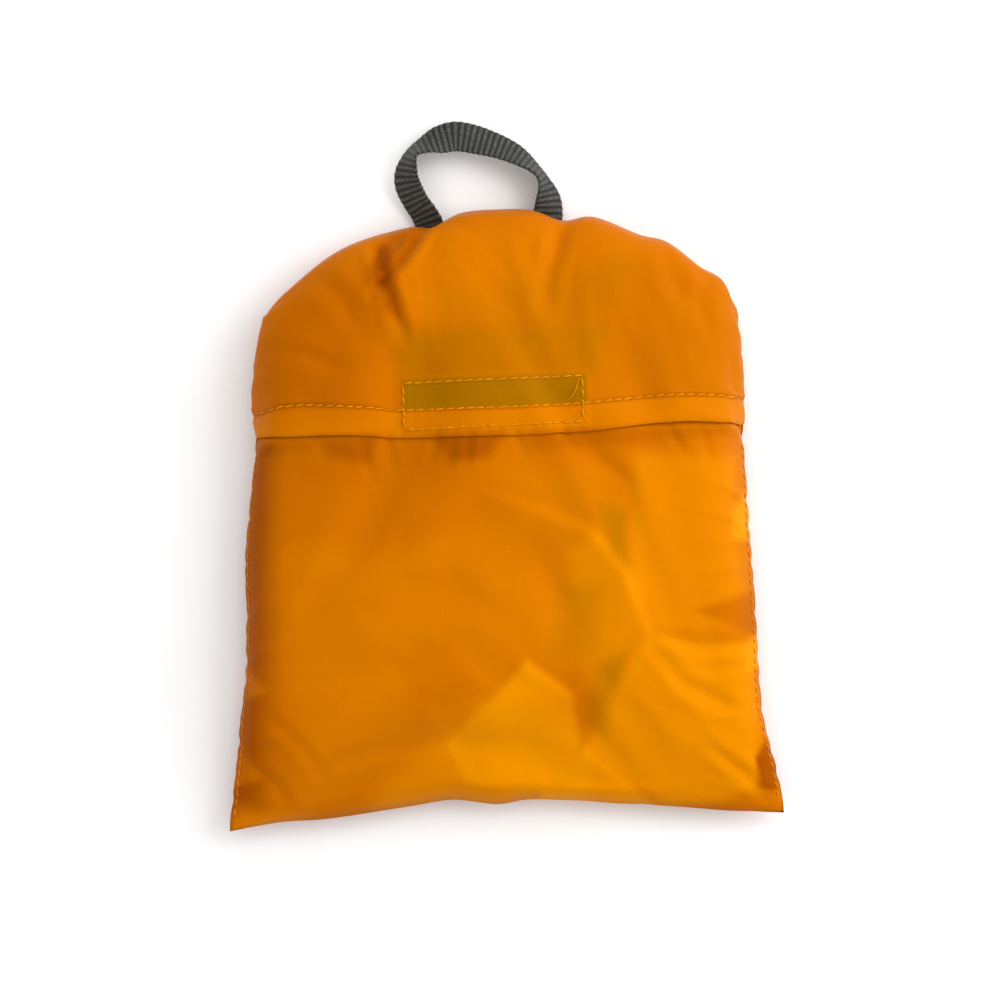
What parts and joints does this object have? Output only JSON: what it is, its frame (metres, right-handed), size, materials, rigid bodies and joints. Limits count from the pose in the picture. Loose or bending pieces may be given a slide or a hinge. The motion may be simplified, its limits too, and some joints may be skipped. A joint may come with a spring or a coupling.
{
  "type": "stuff sack",
  "caption": "Flat stuffed nylon pouch with a fold-over flap, hook-and-loop closure and a webbing grab loop at the top.",
  "frame": {"origin": "middle of the flat back, on the surface that the sack lies on", "axes": "+X to the sack's right seen from the front, +Y towards the grab loop, +Z out of the front"},
  "size_m": [0.19, 0.24, 0.0348],
  "materials": {
    "orange_nylon": "satin",
    "orange_thread": "satin",
    "black_thread": "satin",
    "grey_webbing": "matte",
    "hook_and_loop": "matte"
  },
  "bodies": {
    "sack": {"back_panel": "orange_nylon", "front_panel": "orange_nylon", "mouth_hem": "orange_nylon", "left_seam_allowance": "orange_nylon", "right_seam_allowance": "orange_nylon", "mouth_hem_stitching": "orange_thread", "loop_patch_stitching": "orange_thread", "left_seam_stitching": "orange_thread", "right_seam_stitching": "orange_thread", "left_overlock": "orange_thread", "right_overlock": "orange_thread", "left_bartack": "black_thread", "right_bartack": "black_thread", "left_loop_tail": "grey_webbing", "right_loop_tail": "grey_webbing", "loop_patch": "hook_and_loop"},
    "flap": {"flap_panel": "orange_nylon", "flap_hem": "orange_nylon", "hook_patch": "hook_and_loop", "flap_hem_stitching": "orange_thread", "hook_patch_stitching": "orange_thread", "loose_thread": "orange_thread"},
    "grab_loop": {"grab_loop": "grey_webbing"}
  },
  "joints": [
    {"name": "flap_lift", "type": "hinge", "parent": "sack", "child": "flap", "pos_m": [0, 0.1045, 0.0093], "axis": [-1, 0, 0], "range_deg": [0, 60]},
    {"name": "loop_swing", "type": "hinge", "parent": "sack", "child": "grab_loop", "pos_m": [-0.003, 0.1024, 0.003], "axis": [1, 0, 0], "range_deg": [-135, 30]}
  ]
}
